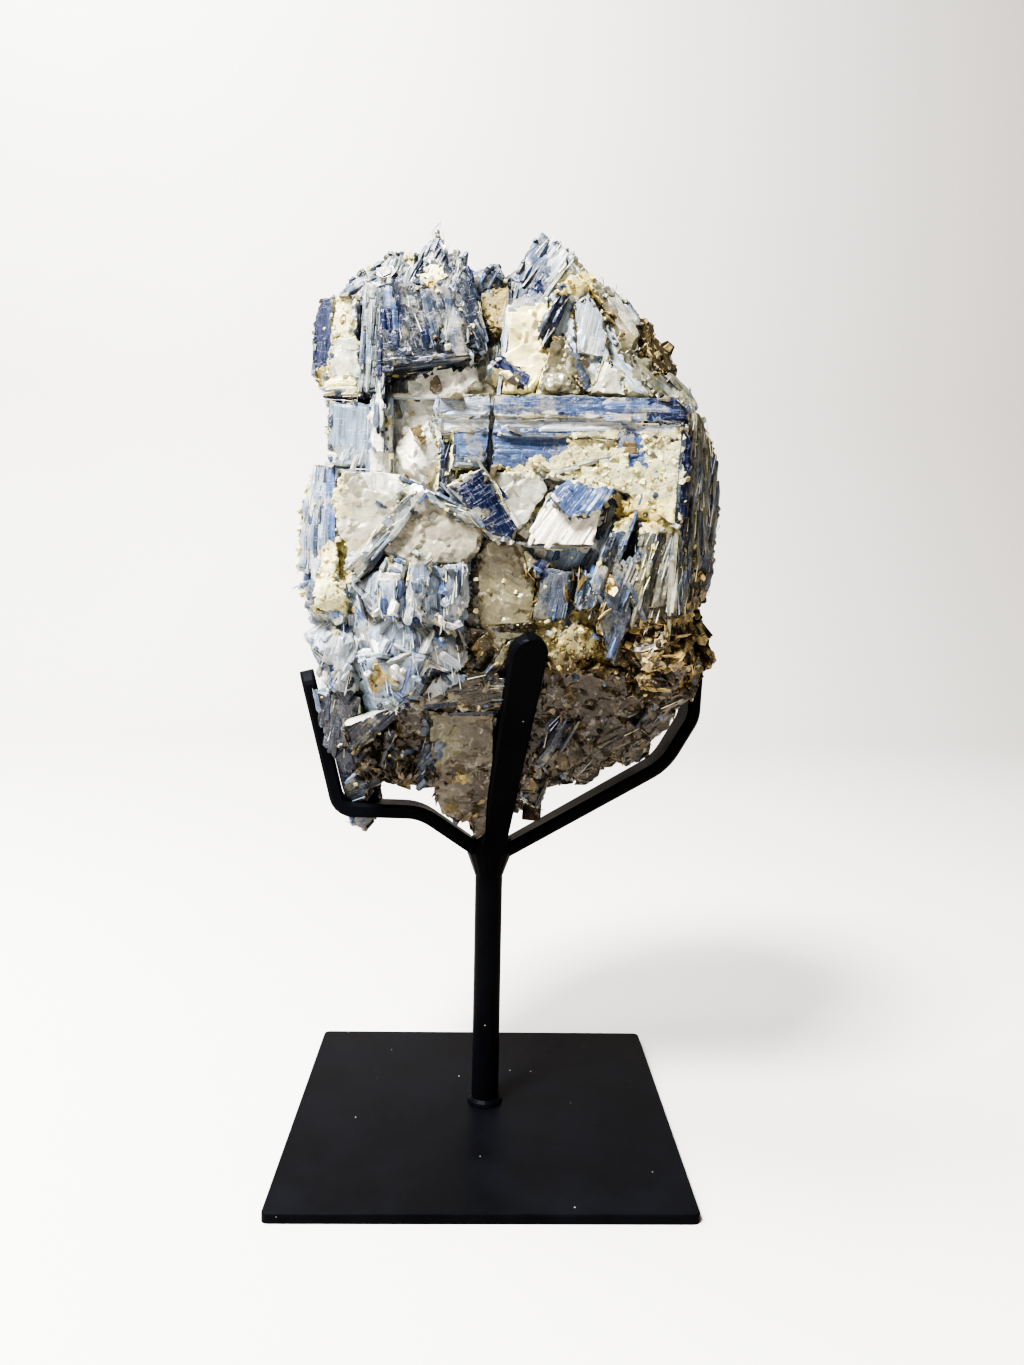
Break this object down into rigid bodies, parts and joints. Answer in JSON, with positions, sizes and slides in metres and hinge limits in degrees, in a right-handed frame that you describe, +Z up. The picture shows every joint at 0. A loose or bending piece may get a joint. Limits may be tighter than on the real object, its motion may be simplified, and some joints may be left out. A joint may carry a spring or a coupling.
{
  "type": "kyanite blade cluster on a steel stand",
  "caption": "Upright cluster of blue kyanite blades in quartz and mica, cradled by a post with bent flat arms on a square plate.",
  "frame": {"origin": "centre of the square plate's underside", "axes": "+Z up along the post, -Y towards the viewer of the stone's lit face, +X to that viewer's right"},
  "size_m": [0.1635, 0.15, 0.3465],
  "materials": {
    "mineral": "natural broken crystal faces, satin to glassy",
    "painted_steel": "satin black paint"
  },
  "bodies": {
    "root": {"kyanite_stone": "mineral", "base_plate": "painted_steel", "post": "painted_steel", "front_arm": "painted_steel", "left_arm": "painted_steel", "right_arm": "painted_steel"}
  },
  "joints": []
}
